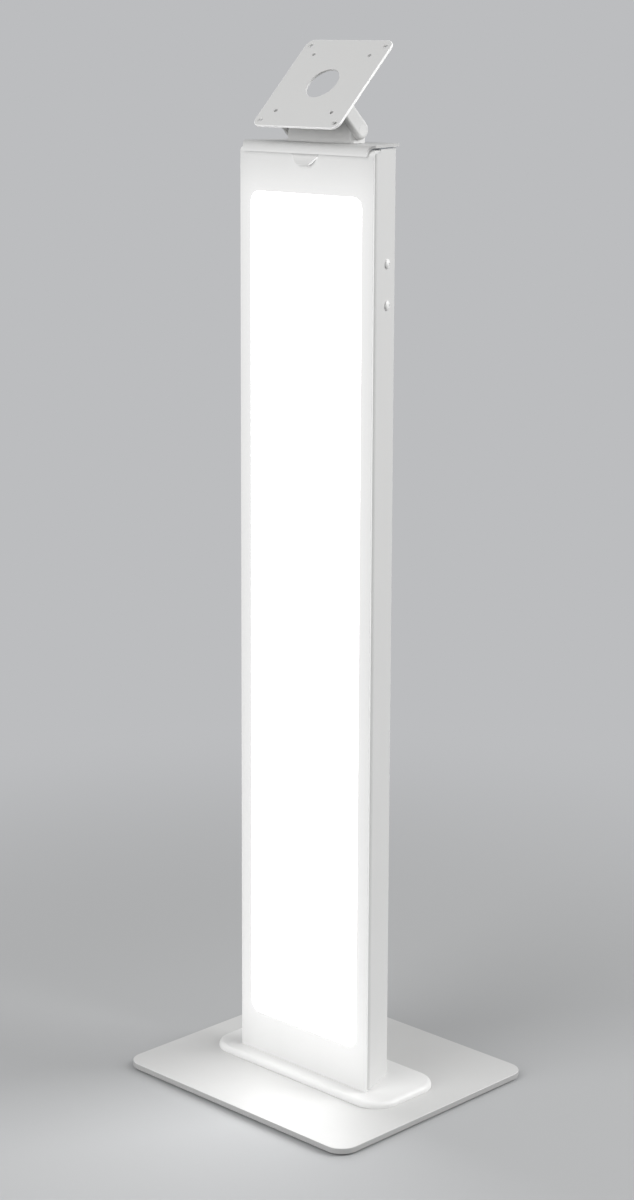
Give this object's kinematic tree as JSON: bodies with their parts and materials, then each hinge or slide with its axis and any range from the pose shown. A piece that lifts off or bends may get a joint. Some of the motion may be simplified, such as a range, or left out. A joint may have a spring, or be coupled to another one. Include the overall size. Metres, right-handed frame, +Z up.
{
  "type": "floor stand",
  "caption": "Floor stand for a tablet or small screen: flat base, tapered column with a lit front window, removable front panel and a tilting square mounting plate.",
  "frame": {"origin": "on the floor under the middle of the base plate", "axes": "+Z up, -Y to the front where the window faces, +X to the right seen from behind"},
  "size_m": [0.315, 0.28, 1.0641],
  "materials": {
    "white_powder_coat": "satin white powder coat on steel sheet",
    "white_cast_aluminium": "satin white paint on cast aluminium",
    "white_screw": "white painted screw heads",
    "zinc_steel": "bright zinc plate",
    "black_rubber": "matt black rubber or hard fibre",
    "opal_acrylic": "opal acrylic sheet, lit from behind",
    "white_plastic": "moulded white plastic",
    "tray_aluminium": "white reflective aluminium sheet",
    "led_board": "white circuit board with yellow chips"
  },
  "bodies": {
    "stand": {"base_plate": "white_powder_coat", "rubber_feet": "black_rubber", "foot_plate": "white_powder_coat", "foot_bracket": "zinc_steel", "foot_screws": "zinc_steel", "foot_nuts": "zinc_steel", "column_body": "white_powder_coat", "rear_grommet": "black_rubber", "top_cap": "white_powder_coat", "head_carrier": "zinc_steel", "side_screws": "white_screw", "side_nuts": "zinc_steel", "tilt_base": "white_powder_coat", "bracket_screws": "zinc_steel", "bracket_nuts": "zinc_steel", "cap_grommet": "black_rubber", "friction_washers": "black_rubber", "disc_springs": "zinc_steel", "led_tray": "tray_aluminium", "led_strips": "led_board", "led_driver": "white_plastic", "driver_screws": "zinc_steel"},
    "panel": {"front_panel": "white_powder_coat", "light_diffuser": "opal_acrylic", "pull_tab": "white_plastic"},
    "head": {"screen_plate": "white_powder_coat", "tilt_yoke": "white_cast_aluminium", "plate_studs": "zinc_steel", "stud_nuts": "zinc_steel", "pivot_bolts": "zinc_steel", "pivot_plugs": "white_plastic", "pivot_nuts": "zinc_steel"}
  },
  "joints": [
    {"name": "tilt", "type": "hinge", "parent": "stand", "child": "head", "pos_m": [0, -0.0053, 0.9797], "axis": [1, 0, 0], "range_deg": [-45, 40]},
    {"name": "panel_lift", "type": "slide", "parent": "stand", "child": "panel", "axis": [0, 0, 1], "range_m": [0, 0.002]}
  ]
}
